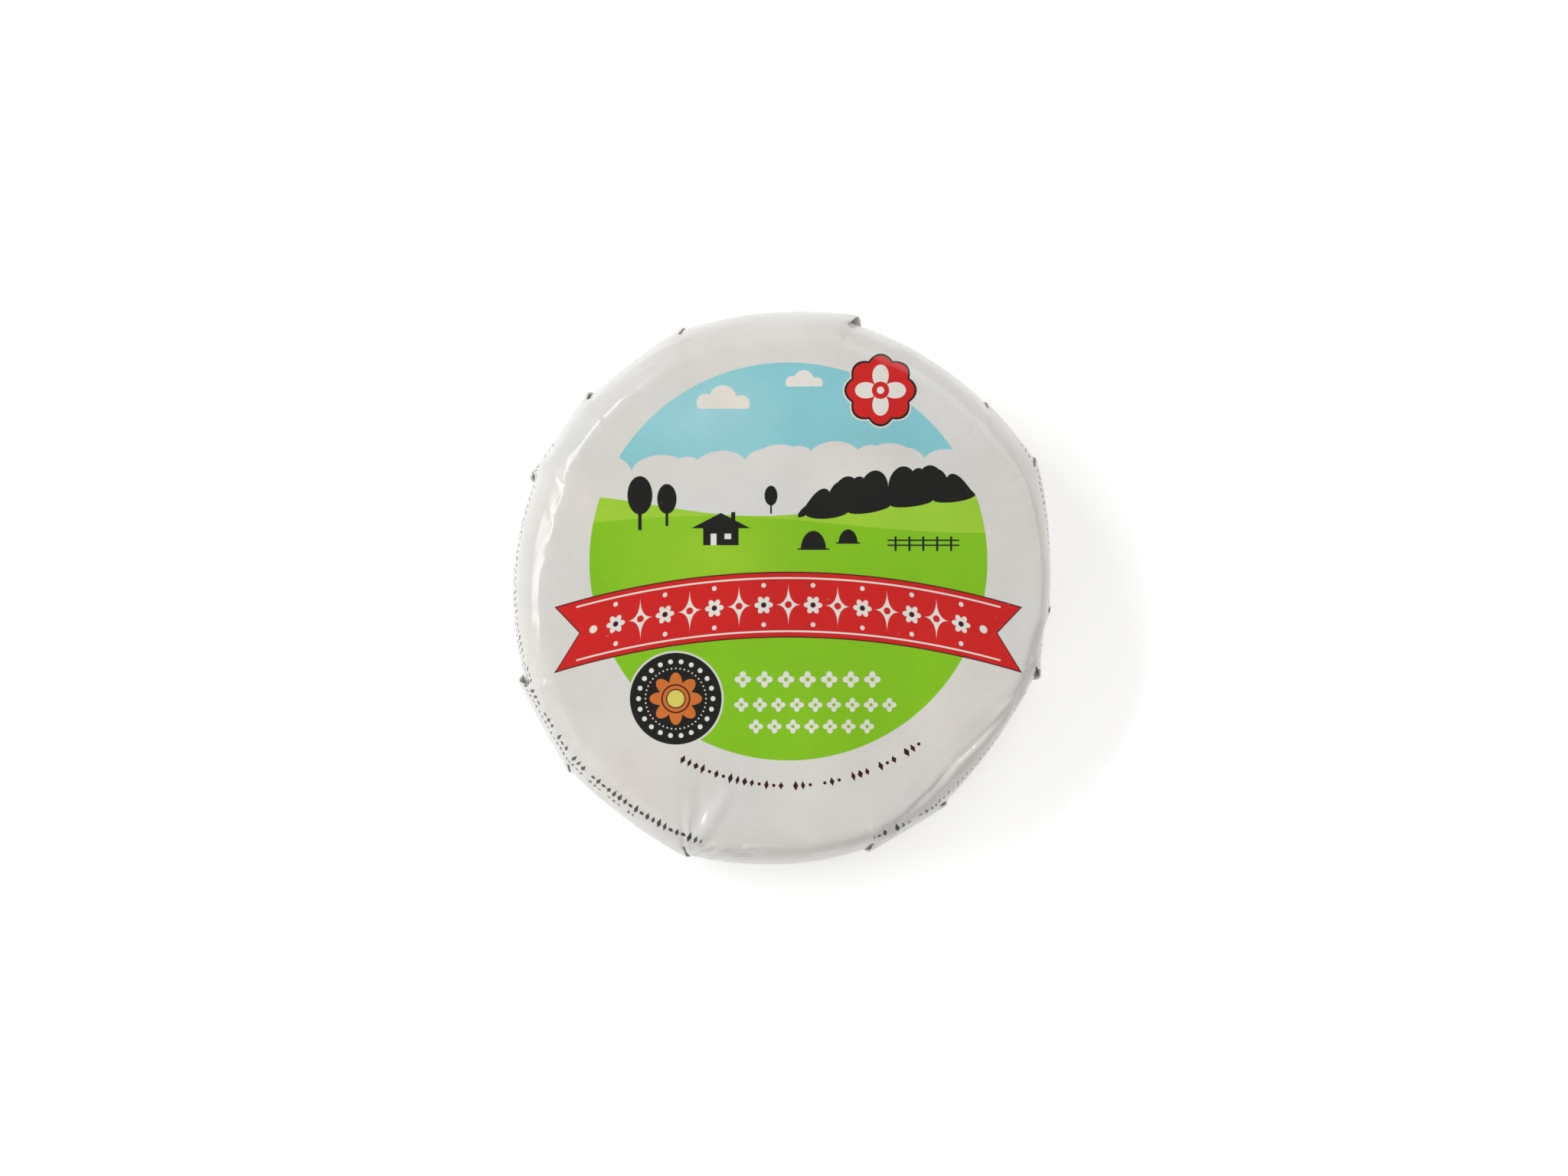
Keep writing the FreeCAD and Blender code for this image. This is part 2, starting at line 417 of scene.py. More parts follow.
# Creases seen from above: half-width, height (below zero: a valley), then plan points from the pack's middle.
CREASES = (
    (0.7, 0.32, (-24, -57), (-23.8, -63), (-24, -70)),
    (2.6, 0.75, (-13, -52), (-17, -59), (-22.5, -67)),
    (2.2, -0.6, (-22.5, -52), (-20.5, -56.5), (-22, -63)),
    (1.6, -0.4, (-22, -53), (-17.5, -54.5), (-13, -55.5)),
    (0.7, -0.25, (-25.4, -51), (-25.6, -60), (-25, -70)),
    (1, 0.85, (-23.5, -70.2), (-17, -66.4), (-10, -68)),
    (1.1, -0.85, (-22, -71), (-14, -68.8), (-6, -69.6)),
    (0.9, 0.65, (-19, -71.5), (-13.5, -66.5)),
    (1, 0.55, (-13, -71), (-8, -67), (2, -67.5)),
    (0.9, -0.35, (-8, -71), (-4, -67.6)),
    (1.1, -0.7, (26.2, -64.8), (32.4, -59.2), (40, -52), (45.2, -45.4), (56.6, -34.6), (65.2, -24.2)),
    (3, -0.3, (25.2, -62.6), (30.2, -58.5), (38.2, -50.8), (43.5, -43.2), (57, -29.7), (63, -24.2)),
    (1, 0.3, (28, -65.2), (33.3, -61), (41.7, -53), (47, -45.7), (60, -32)),
    (0.9, 0.22, (39, -52.6), (41, -46), (47, -40.5)),
    (0.7, 0.3, (43.8, -43), (45.6, -47.4)),
    (0.8, 0.3, (56.5, -32.2), (61.5, -28.6), (66, -27)),
    (0.7, -0.3, (63.4, -25.2), (61.8, -29.5), (60, -33.6)),
    (0.9, -0.2, (44, -45.5), (51, -40.5), (55.5, -33.5)),
    (0.9, -0.3, (33, -63), (37, -57.5), (44.5, -51), (49, -48)),
    (2.2, 0.3, (38, -45.5), (48, -36.5), (58, -27), (61.5, -22.5)),
    (1.2, -0.25, (47, -49), (55, -40.5), (62, -33)),
    (1.3, -0.5, (67.8, -8), (67.2, -11), (65.2, -17.4), (63.6, -23)),
    (1, 0.35, (69.6, -14), (67.4, -17.5), (65, -24.5), (62.5, -29)),
    (0.9, 0.25, (69, -22), (64.5, -21), (60, -22.5)),
    (0.9, -0.25, (67.5, -24.5), (63, -25.5), (58.5, -29.5)),
    (1, 0.4, (28, -66.5), (30, -63.5), (33.5, -58.5)),
    (1.1, -0.4, (24, -68), (25.5, -65), (28.5, -61)),
    (1.2, 0.35, (64.2, 35.7), (66, 32), (68.3, 28)),
    (1.6, -0.25, (61.5, 36.5), (63.5, 31.5), (65.5, 27)),
    (1, 0.35, (-25.5, 68), (-23.6, 64), (-18, 61.5)),
    (0.9, 0.3, (-34, 60.5), (-28, 63), (-21, 66.5)),
    (1, -0.25, (-39, 55.5), (-33.5, 59.5), (-29.5, 59)),
    (1, 0.25, (-51, 47.5), (-46.5, 50.5), (-44.5, 55)),
    (1, 0.28, (26, 62), (32.5, 62.4), (38, 58.5)),
    (0.9, -0.22, (29, 59.5), (35.5, 58.6)),
    (0.9, 0.3, (17, 70), (17.6, 66), (19, 63.5)),
    (0.8, 0.4, (-68.6, -22), (-66.8, -19.6), (-64.8, -18.2)),
    (1.2, 0.3, (-65.6, -6), (-65.4, -13), (-66, -20)),
    (1.8, 0.22, (-62.5, -8), (-63.5, -15), (-62, -24), (-58, -34)),
    (1.6, -0.25, (-60.5, -30), (-54, -41), (-46, -49)),
    (2, 0.3, (-64, -20), (-61, -29), (-56.5, -36.5)),
    (2, 0.3, (-57, -39), (-50.5, -45.5), (-42, -51.5)),
    (2.4, -0.22, (-62, -24), (-56.5, -24.5), (-52, -31), (-50, -39)),
    (1.4, 0.2, (-44, -54.5), (-41.5, -50), (-36, -48)),
    (1.2, 0.2, (-61, 33), (-57.5, 35.5), (-54, 34)),
    (2.2, 0.2, (-44.5, -47), (-41, -43), (-40, -49.5)),
    (1.8, 0.22, (-37, -56), (-31.5, -58.5), (-27.5, -64)),
)
SMALL_CREASES = 170
SMALL_CREASE_LENGTH = (4, 15)
SMALL_CREASE_HEIGHT = 0.2           # at most, up or down
SMALL_CREASE_HALF_WIDTH = (0.7, 1.6)
SMALL_CREASE_TURN = 0.7             # spread of their turn from along the edge, in radians
SMALL_CREASE_BAND = (50, 72)        # plan radii between which their middles lie
FADE_HEIGHT = (6, 16)               # heights over which creases placed from above fade out
RIDGE_ROUND = 0.15                  # rounding of a crease's ridge, as a share of its half-width
# Creases from each pleat's head: turn from straight out in degrees, length and height.
RAYS = (
    (156, 5, 0.12), (183, 6, -0.12), (62, 8, 0.2),
    (-58, 8.5, -0.2), (88, 11, -0.12), (-94, 10, 0.12),
)
RAY_HEAD = 0.4                      # where they start, from the top's edge out, as a share of the shoulder
RAY_HALF_WIDTH = 1.2
RAY_SWING = 9                       # degrees by which a ray's turn varies


def unit(angle):
    """A step of 1 in that plan direction."""
    return np.array((math.cos(angle), math.sin(angle)))


def tent(plan, points, half_width, height):
    """A crease along a line of plan points: a ridge with straight flanks, fading at its ends."""
    points = np.array(points, dtype=float)
    starts, ends = points[:-1], points[1:]
    lengths = np.linalg.norm(ends - starts, axis=1)
    gone = np.concatenate(([0], np.cumsum(lengths)))
    nearest = np.full(plan.shape[:-1], 1e9)
    along = np.zeros(plan.shape[:-1])
    for start, end, length, before in zip(starts, ends, lengths, gone):
        way = (end - start) / length
        offset = plan - start
        here = np.clip(offset @ way, 0, length)
        distance = np.linalg.norm(offset - here[..., None] * way, axis=-1)
        closer = distance < nearest
        nearest = np.where(closer, distance, nearest)
        along = np.where(closer, before + here, along)
    share = along / gone[-1]
    fade = np.sqrt(np.clip(4 * share * (1 - share), 0, 1))
    rounded = np.hypot(nearest, RIDGE_ROUND * half_width)
    return height * fade * np.maximum(0, 1 - rounded / half_width)


def pleat_rays(plan):
    """Creases that run from the head of each pleat: in over the edge of the top, and out along the slope."""
    total = np.zeros(plan.shape[:-1])
    for pleat in range(PLEAT_COUNT):
        direction = math.radians(DIRECTION[pleat])
        edge = PANEL_RADIUS - SHOULDER[pleat] + RISE_AT_TOP * ENDING[pleat]
        head = unit(direction) * (edge + RAY_HEAD * SHOULDER[pleat])
        for number, (turn, length, height) in enumerate(RAYS):
            swing = math.radians(turn + RAY_SWING * math.sin(7 * pleat + number))
            reach = length * (0.7 + 0.5 * math.sin(3 * pleat + 2 * number) ** 2)
            tip = head + reach * unit(direction + swing)
            uneven = 0.7 + 0.3 * math.cos(5 * pleat + number)
            total += tent(plan, (head, tip), RAY_HALF_WIDTH, height * uneven)
    return total


def small_creases(plan, draw):
    """Faint short creases round the top's edge."""
    total = np.zeros(plan.shape[:-1])
    for _ in range(SMALL_CREASES):
        angle = draw.uniform(0, 2 * math.pi)
        radius = draw.uniform(*SMALL_CREASE_BAND)
        middle = radius * unit(angle)
        heading = angle + math.pi / 2 + draw.normal(0, SMALL_CREASE_TURN)
        half = 0.5 * draw.uniform(*SMALL_CREASE_LENGTH) * unit(heading)
        height = SMALL_CREASE_HEIGHT * draw.uniform(-1, 1)
        half_width = draw.uniform(*SMALL_CREASE_HALF_WIDTH)
        total += tent(plan, (middle - half, middle + half), half_width, height)
    return total


def relief(sheet, plan):
    """How far the paper stands out from its smooth surface."""
    draw = np.random.default_rng(SEED)
    height = sum(tent(plan, points, half_width, high) for half_width, high, *points in CREASES)
    height = height + pleat_rays(plan) + small_creases(plan, draw)
    return height * smooth(*FADE_HEIGHT, sheet.height)


# -------- meshes

SHEET_SPAN = 360           # side of the square that the "sheet" map covers
BAKE_TOP = 0.70            # side of the bake map's square for the top and the slope
BAKE_TOP_SPAN = 172
BAKE_MARGIN = 0.004
SIDE_STARTS = 14           # way down from the top's edge where the bake map goes over to its strip
FREE_HEIGHTS = (0.5, 3)    # heights over which the paper grows free to swell, since it lies flat on its base


def grid_faces(rings, columns):
    """Quads between neighbouring rings, with the ring and column of each corner."""
    ring, column = np.meshgrid(np.arange(rings - 1), np.arange(columns), indexing="ij")
    corner_rings = np.stack((ring, ring + 1, ring + 1, ring), axis=-1).reshape(-1, 4)
    corner_columns = np.stack((column, column, column + 1, column + 1), axis=-1).reshape(-1, 4)
    return corner_rings, corner_columns


def wrap_mesh():
    """The closed mesh of the folded paper with its two maps and the direction in which it is pushed out."""
    sheet = Sheet()
    cosine, sine = np.cos(sheet.angle), np.sin(sheet.angle)
    plan = np.stack((sheet.radius * cosine, sheet.radius * sine), axis=-1)
    push = relief(sheet, plan)
    out, up = (part[:, None] * np.ones_like(push) for part in (sheet.rings.out, sheet.rings.up))
    normal = np.stack((out * cosine, out * sine, up), axis=-1)
    points = np.concatenate((plan, sheet.height[..., None]), axis=-1) + normal * push[..., None]
    rings, columns = points[1:-1].shape[:2]
    ends = points[[0, -1]].mean(axis=1)
    vertices = np.concatenate((points[1:-1].reshape(-1, 3), ends))
    low, high = vertices.min(axis=0), vertices.max(axis=0)
    vertices[:, :2] += (CAD_BOX.mean(axis=0) - (low + high) / 2)[:2]
    corner_rings, corner_columns = grid_faces(rings, columns)
    quads = corner_rings * columns + corner_columns % columns
    around = np.arange(columns)
    after = (around + 1) % columns
    top_end = np.full(columns, rings * columns)
    last = (rings - 1) * columns
    top_fan = np.stack((top_end, around, after), axis=1)
    under_fan = np.stack((top_end + 1, last + after, last + around), axis=1)

    mesh = bpy.data.meshes.new("wrap_paper")
    faces = quads.tolist() + top_fan.tolist() + under_fan.tolist()
    mesh.from_pydata((vertices * MM).tolist(), [], faces)
    mesh.polygons.foreach_set("use_smooth", np.ones(len(faces), dtype=bool))
    write_maps(mesh, sheet, corner_rings, corner_columns)
    write_push(mesh, normal[1:-1], sheet.hidden[1:-1], sheet.height[1:-1])
    mesh.update()
    return mesh


def write_map(mesh, name, parts):
    """One map, from the places of the corners of the quads, the top's fan and the underside's fan."""
    places = np.concatenate([part.reshape(-1, 2) for part in parts])
    mesh.uv_layers.new(name=name).uv.foreach_set("vector", places.astype(np.float32).ravel())


def write_maps(mesh, sheet, corner_rings, corner_columns):
    """Two maps: "sheet" for the print, as on the flat paper, and "OFBake" with no overlap."""
    way = sheet.rings.way[:, None]
    flat = np.where(way > 0, sheet.flat_radius[TOP_RINGS] + way, sheet.flat_radius)[1:-1]
    turn = sheet.sheet_angle[1:-1]
    rings, columns = flat.shape
    place = np.stack((flat * np.cos(turn), flat * np.sin(turn)), axis=-1)
    around = np.arange(columns)
    after = (around + 1) % columns
    first, end = place[0], place[-1]
    quads = place[corner_rings, corner_columns % columns]
    top = np.stack((np.zeros((columns, 2)), first, first[after]), axis=1)
    under = np.stack(((end + end[after]) / 2, end[after], end), axis=1)
    write_map(mesh, "sheet", [0.5 + part / SHEET_SPAN for part in (quads, top, under)])

    start = int(np.argmax(way[1:-1, 0] > SIDE_STARTS))
    on_strip = corner_rings.min(axis=1) >= start
    ring_height = np.linspace(BAKE_TOP + BAKE_MARGIN, 1 - BAKE_MARGIN, rings - start + 1)

    def strip(column, height):
        across = BAKE_MARGIN + (1 - 2 * BAKE_MARGIN) * column / columns
        return np.stack((across, height * np.ones_like(across)), axis=-1)

    side = strip(corner_columns, ring_height[np.clip(corner_rings - start, 0, None)])
    face, top = (BAKE_TOP * (0.5 + part / BAKE_TOP_SPAN) for part in (quads, top))
    under = strip(np.stack((around + 0.5, around + 1, around), axis=1), ring_height[[-1, -2, -2]])
    write_map(mesh, "OFBake", (np.where(on_strip[:, None, None], side, face), top, under))


def write_push(mesh, normal, hidden, height):
    """Attributes for the relief: which way is out, and how freely the paper there may swell."""
    out = mesh.attributes.new("outward", "FLOAT_VECTOR", "POINT")
    ends = np.array(((0, 0, 1), (0, 0, -1)))
    out.data.foreach_set("vector", np.concatenate((normal.reshape(-1, 3), ends)).astype(np.float32).ravel())
    free = mesh.attributes.new("free", "FLOAT", "POINT")
    values = (1 - hidden).ravel() * smooth(*FREE_HEIGHTS, height).ravel()
    free.data.foreach_set("value", np.concatenate((values, (1, 0))).astype(np.float32))


# -------- node trees

def operator(name, swapped=False):
    """A Python operator on terms that stands for a Math node."""
    def applied(self, other):
        return Term(self.tree, other).made(name, self) if swapped else self.made(name, other)
    return applied


class Term:
    """A number in a node tree, so that a printed shape can be written as a formula."""

    def __init__(self, tree, value):
        self.tree = tree
        self.value = value

    def made(self, operation, *others, clamp=False):
        """The result of a Math node on this number and the others."""
        given = dict(enumerate((self, *others)))
        node = add(self.tree, "ShaderNodeMath", given, operation=operation, use_clamp=clamp)
        return Term(self.tree, node.outputs["Value"])

    def __neg__(self):
        return self * -1

    def __abs__(self):
        return self.made("ABSOLUTE")

    __add__ = __radd__ = operator("ADD")
    __sub__ = operator("SUBTRACT")
    __rsub__ = operator("SUBTRACT", swapped=True)
    __mul__ = __rmul__ = operator("MULTIPLY")
    __truediv__ = operator("DIVIDE")
    __rtruediv__ = operator("DIVIDE", swapped=True)


def fill(tree, node, given):
    """Links a term or an output to each named or numbered input, or writes a plain value there."""
    for socket, value in given.items():
        if isinstance(value, Term):
            value = value.value
        if isinstance(value, bpy.types.NodeSocket):
            tree.links.new(value, node.inputs[socket])
        else:
            node.inputs[socket].default_value = value


def add(tree, kind, given=None, **settings):
    """A new node with its settings and its inputs."""
    node = tree.nodes.new(kind)
    for name, value in settings.items():
        setattr(node, name, value)
    fill(tree, node, given or {})
    return node


def declare(tree, in_out, kind, *names):
    """Inputs or outputs of a node group."""
    for name in names:
        tree.interface.new_socket(name, in_out=in_out, socket_type="NodeSocket" + kind)


def axes(tree, vector):
    """The three numbers of a vector."""
    return [Term(tree, part) for part in add(tree, "ShaderNodeSeparateXYZ", {"Vector": vector}).outputs]


def mixed(tree, share, first, second, blend="MIX"):
    """Two colours mixed."""
    given = {"Factor": share, 6: first, 7: second}
    return add(tree, "ShaderNodeMix", given, data_type="RGBA", blend_type=blend).outputs[2]


def cover(distance, softness):
    """1 where a distance is below zero and 0 elsewhere, with a soft edge."""
    return distance.made("MULTIPLY_ADD", -1 / softness, 0.5, clamp=True)


# -------- Geometry Nodes: swell of the paper

def swell_tree():
    """Pushes the paper in and out along its outward direction by two sizes of noise."""
    tree = bpy.data.node_groups.new("paper_swell", "GeometryNodeTree")
    declare(tree, "INPUT", "Geometry", "Geometry")
    declare(tree, "INPUT", "Float", "Swell Height", "Swell Size", "Crinkle Height", "Crinkle Size")
    declare(tree, "INPUT", "Int", "Seed")
    declare(tree, "INPUT", "Material", "Finish")
    declare(tree, "OUTPUT", "Geometry", "Geometry")
    given = add(tree, "NodeGroupInput").outputs
    place = add(tree, "GeometryNodeInputPosition").outputs["Position"]

    def named(name, kind):
        node = add(tree, "GeometryNodeInputNamedAttribute", {"Name": name}, data_type=kind)
        return node.outputs["Attribute"]

    def noise(name, detail):
        node = add(tree, "ShaderNodeTexNoise", {
            "Vector": place,
            "W": given["Seed"],
            "Scale": 1 / Term(tree, given[name + " Size"]),
            "Detail": detail,
            "Roughness": 0.45,
        }, noise_dimensions="4D")
        return (Term(tree, node.outputs["Fac"]) - 0.5) * given[name + " Height"]

    push = add(tree, "ShaderNodeVectorMath", {
        "Vector": named("outward", "FLOAT_VECTOR"),
        "Scale": (noise("Swell", 1) + noise("Crinkle", 3)) * named("free", "FLOAT"),
    }, operation="SCALE")
    geometry = given["Geometry"]
    for kind, more in (
        ("GeometryNodeSetPosition", {"Offset": push.outputs["Vector"]}),
        ("GeometryNodeRealizeInstances", {}),
        ("GeometryNodeSetMaterial", {"Material": given["Finish"]}),
    ):
        geometry = add(tree, kind, {"Geometry": geometry, **more}).outputs["Geometry"]
    add(tree, "NodeGroupOutput", {"Geometry": geometry})
    return tree


def placed(name, data):
    """A new object in the scene."""
    piece = bpy.data.objects.new(name, data)
    bpy.context.scene.collection.objects.link(piece)
    return piece


def grown(name, mesh, tree, values):
    """A plain object from a mesh with a Geometry Nodes tree applied: values go in by input name."""
    start = placed(name + "_start", mesh)
    modifier = start.modifiers.new("grow", "NODES")
    modifier.node_group = tree
    for item in tree.interface.items_tree:
        if item.in_out == "INPUT" and item.name in values:
            modifier[item.identifier] = values[item.name]
    bpy.context.view_layer.update()
    done = bpy.data.meshes.new_from_object(start.evaluated_get(bpy.context.evaluated_depsgraph_get()))
    start.modifiers.remove(modifier)
    bpy.data.objects.remove(start)
    return placed(name, done)


# -------- shapes as formulas: each gives a distance to its edge, below zero inside

def hypot(first, second):
    return (first * first + second * second).made("SQRT")


def both(first, *others):
    """What lies in every one of the shapes."""
    for other in others:
        first = first.made("MAXIMUM", other)
    return first


def either(first, *others):
    """What lies in at least one of the shapes."""
    for other in others:
        first = first.made("MINIMUM", other)
    return first


def disc(x, y, radius):
    return hypot(x, y) - radius


def oval(x, y, half_wide, half_high):
    return (hypot(x / half_wide, y / half_high) - 1) * min(half_wide, half_high)


def block(x, y, half_wide, half_high):
    return both(abs(x) - half_wide, abs(y) - half_high)


def repeat(along, period):
    """Distance from the middle of the nearest repeat, and the number of that repeat."""
    scaled = along / period
    number = scaled.made("ROUND")
    return (scaled - number) * period, number


def formula_group(name, inputs, formula):
    """A shader node group that works out one number from the named ones, ready to be used in a formula."""
    tree = bpy.data.node_groups.new(name, "ShaderNodeTree")
    declare(tree, "INPUT", "Float", *inputs)
    declare(tree, "OUTPUT", "Float", "Result")
    given = add(tree, "NodeGroupInput").outputs
    add(tree, "NodeGroupOutput", {"Result": formula(*(Term(tree, given[label]) for label in inputs))})

    def used(first, *others):
        values = dict(enumerate((first, *others)))
        return Term(first.tree, add(first.tree, "ShaderNodeGroup", values, node_tree=tree).outputs["Result"])

    return used


def puff_height(along, period, height):
    """Height of a row of half-round puffs."""
    offset, _ = repeat(along, period)
    share = offset / period * 2
    return (1 - share * share).made("MAXIMUM", 0).made("SQRT") * height


def petal_distance(x, y, radius, count, depth):
    """A flower with that many round petals."""
    turn = y.made("ARCTAN2", x) * count * 0.5
    return hypot(x, y) - radius * (1 - depth * (1 - abs(turn.made("COSINE"))))


def bead_distance(x, y, ring, count, size):
    """A ring of round beads."""
    offset, _ = repeat(y.made("ARCTAN2", x) * count / (2 * math.pi), 1)
    return hypot(offset * ring * (2 * math.pi) / count, hypot(x, y) - ring) - size


MARK_STEPS = (0.754877, 0.56984)     # their multiples leave fractions in no plain order
MARK_DOTS = 0.3                      # share of the marks that are dots
MARK_GAPS = 0.1                      # share that is left out


def mark_distance(along, across, period, height):
    """A line of tiny lozenges and dots of uneven size, with a gap here and there."""
    offset, number = repeat(along, period)
    luck, other = ((number * step).made("FRACT") for step in MARK_STEPS)
    half_wide = period * (0.28 + 0.16 * other)
    half_high = height * (0.32 + 0.24 * luck)
    tall = (abs(offset) / half_wide + abs(across) / half_high - 1) * half_wide
    dot = disc(offset, across, height * 0.17)
    is_dot = other.made("GREATER_THAN", 1 - MARK_DOTS)
    is_gap = luck.made("LESS_THAN", MARK_GAPS)
    return tall * (1 - is_dot) + dot * is_dot + is_gap * height


PUFFS = formula_group("puff_row", ("Along", "Period", "Height"), puff_height)
PETALS = formula_group("petals", ("X", "Y", "Radius", "Count", "Depth"), petal_distance)
BEADS = formula_group("bead_ring", ("X", "Y", "Ring", "Count", "Bead"), bead_distance)
MARKS = formula_group("fine_marks", ("Along", "Across", "Period", "Height"), mark_distance)


# -------- the print

def ink(red, green, blue):
    """A colour from its eight-bit display values."""
    values = []
    for value in (red, green, blue):
        share = value / 255
        values.append(share / 12.92 if share <= 0.04045 else ((share + 0.055) / 1.055) ** 2.4)
    return (*values, 1)


PAPER = ink(217, 214, 209)
SKY = ink(137, 199, 207)
PALE_SKY = ink(160, 212, 219)
GREEN = ink(132, 192, 34)
LIGHT_GREEN = ink(153, 200, 48)
FAR_GREEN = ink(158, 203, 58)
DARK = ink(33, 34, 31)
RED = ink(206, 38, 36)
BROWN = ink(62, 30, 32)
CREAM = ink(226, 222, 214)
ORANGE = ink(206, 112, 50)
YELLOW = ink(218, 203, 98)

INK_EDGE = 0.14            # softness of an ink's edge
PRINT_PLACE = (2.1, 6.9)   # middle of the round picture, from the pack's middle
FIELD_RADIUS = 51.6        # the round picture
BAND_MIDDLE = -11.2        # the red band
BAND_HALF_HEIGHT = 8.4
BAND_HALF_LENGTH = 60.4
BAND_SAG = 400             # the larger, the straighter
BAND_PIPING = (6.9, 55)    # way of the cream lines from the band's middle, and half their length
BAND_REPEAT = 12.8         # stars, with a flower between two
BAND_STARS_END = 44
BAND_FLOWERS_END = 48
BADGE_PLACE = (-29.2, -35.6)
BADGE_RADIUS = 11.9
ROSETTE_PLACE = (23.9, 44.4)
ROSETTE_RADIUS = 9.4
LINE_RADIUS = 58.2         # the line of marks below the picture
LINE_SPAN = (0.08, 0.58)   # its middle and half its length, as angles from straight down
# The lines of marks that fall on the side: radius, spacing, height, shift and the angle at which each starts,
# to either side of straight down.
SIDE_LINES = ((76.2, 1.75, 3.7, 0, 0.3), (80, 1.6, 3.2, 60, 0.55))
SIDE_LINES_END = 2.05      # the angle at which they all end


class Artwork:
    """The colour of the print, built up ink by ink over the sheet's x and y in millimetres."""

    def __init__(self, x, y):
        self.tree = x.tree
        self.x = x
        self.y = y
        self.field = disc(x, y, FIELD_RADIUS)
        self.colour = PAPER

    def paint(self, distance, colour):
        """Lays an ink where the distance is below zero."""
        self.colour = mixed(self.tree, cover(distance, INK_EDGE), self.colour, colour)

    def outline(self, distance, half_wide, colour):
        """A line along the edge of a shape."""
        self.paint(abs(distance) - half_wide, colour)

    def at(self, place):
        """x and y from another point."""
        return self.x - place[0], self.y - place[1]

    def wave(self, middle, height, length, start):
        """A gently rolling line across the picture."""
        return (self.x / length + start).made("SINE") * height + middle

    def shaded(self, first, second, distance, softness):
        """An ink that goes softly over into a second one where the distance falls below zero."""
        return mixed(self.tree, cover(distance, softness), first, second)


def paint_sky(art):
    """Sky over a bank of round clouds, with two small clouds in it."""
    puffs = PUFFS(art.x + 3, 15, 5.4).made("MAXIMUM", PUFFS(art.x - 2.4, 9.6, 4.6))
    bank = art.wave(24, 1.8, 16, 0.7) + puffs
    glow = disc(art.x + 22, (art.y - 38) * 1.4, 12)
    art.paint(both(art.field, bank - art.y), art.shaded(SKY, PALE_SKY, glow, 24))
    for place, size in (((-17, 40.5), 1), ((4, 46), 0.7)):
        x, y = art.at(place)
        heap = either(
            disc(x + 4.4 * size, y - 0.6 * size, 2.4 * size),
            disc(x, y - 1.6 * size, 3.6 * size),
            disc(x - 4.8 * size, y - 0.4 * size, 2.2 * size),
        )
        art.paint(both(heap, -y - 0.9 * size), CREAM)


def paint_hills(art):
    """Two rolling hills, with a dense row of round bushes on the far one."""
    far = art.wave(14.6, 2.8, 17, -1.1)
    near = art.wave(9.6, 2.2, 22, 2.5)
    art.paint(both(art.field, art.y - far), FAR_GREEN)

    half = 23                  # half the length of the row
    x = (art.x - 25.5) / half
    tops = PUFFS(art.x, 7.4, 5).made("MAXIMUM", PUFFS(art.x + 2.7, 5.2, 4.2)) + 3.4
    taper = 1 - x * x * x * x
    top = far + tops * taper
    foot = far - PUFFS(art.x + 1, 11, 1.2) - 1.2 * taper
    art.paint(both(art.field, art.y - top, foot - art.y, abs(x) * half - half), DARK)

    glow = disc((art.x + 20) * 0.6, art.y - 2, 9)
    art.paint(both(art.field, art.y - near), art.shaded(GREEN, LIGHT_GREEN, glow, 18))


def paint_trees(art):
    """Round-headed trees on the hills, and a pair of haystacks in the meadow."""
    for place, height in (((-38.5, 8.5), 13.5), ((-31.5, 9.5), 10.5), ((-4.5, 12.6), 7)):
        x, y = art.at(place)
        crown = oval(x, y - 0.64 * height, 0.24 * height, 0.37 * height)
        art.paint(either(crown, block(x, y - 0.15 * height, 0.035 * height, 0.18 * height)), DARK)
    for place, size in (((6.5, 3), 3.3), ((15.5, 4.6), 2.5)):
        x, y = art.at(place)
        art.paint(both(oval(x, y, size, 1.5 * size), -y), DARK)
        art.paint(block(x, y - 0.2, 1.25 * size, 0.18), DARK)


def paint_hut(art):
    """A small hut with a wide roof."""
    x, y = art.at((-17.5, 4.6))
    art.paint(block(x, y - 2, 4.6, 2.4), DARK)
    art.paint(both(abs(x) * 0.52 + y - 8, 4 - y), DARK)
    art.paint(block(x - 3.2, y - 6.6, 0.55, 1.6), DARK)
    art.paint(block(x + 1.9, y - 1.1, 0.75, 1.5), CREAM)
    art.paint(block(x - 1.8, y - 1.9, 0.85, 0.7), CREAM)


def paint_fence(art):
    """A rail fence in the meadow."""
    x, y = art.at((35, 4.6))
    offset, _ = repeat(x, 3.6)
    posts = block(offset, y, 0.28, 1.9)
    rails = either(abs(y - 0.9) - 0.2, abs(y + 0.4) - 0.2)
    art.paint(both(either(posts, rails), abs(x) - 9.3), DARK)


def paint_flowers(art):
    """Rows of small flowers on the meadow."""
    for place, count, period in (((5, -30.6), 7, 5.6), ((7, -37.2), 9, 4.8), ((6, -42.8), 7, 4.8)):
        x, y = art.at(place)
        offset, _ = repeat(x, period)
        row = abs(x) - 0.5 * count * period
        art.paint(both(PETALS(offset, y, 0.38 * period, 4, 0.5), row), CREAM)
        art.paint(both(disc(offset, y, 0.1 * period), row), GREEN)


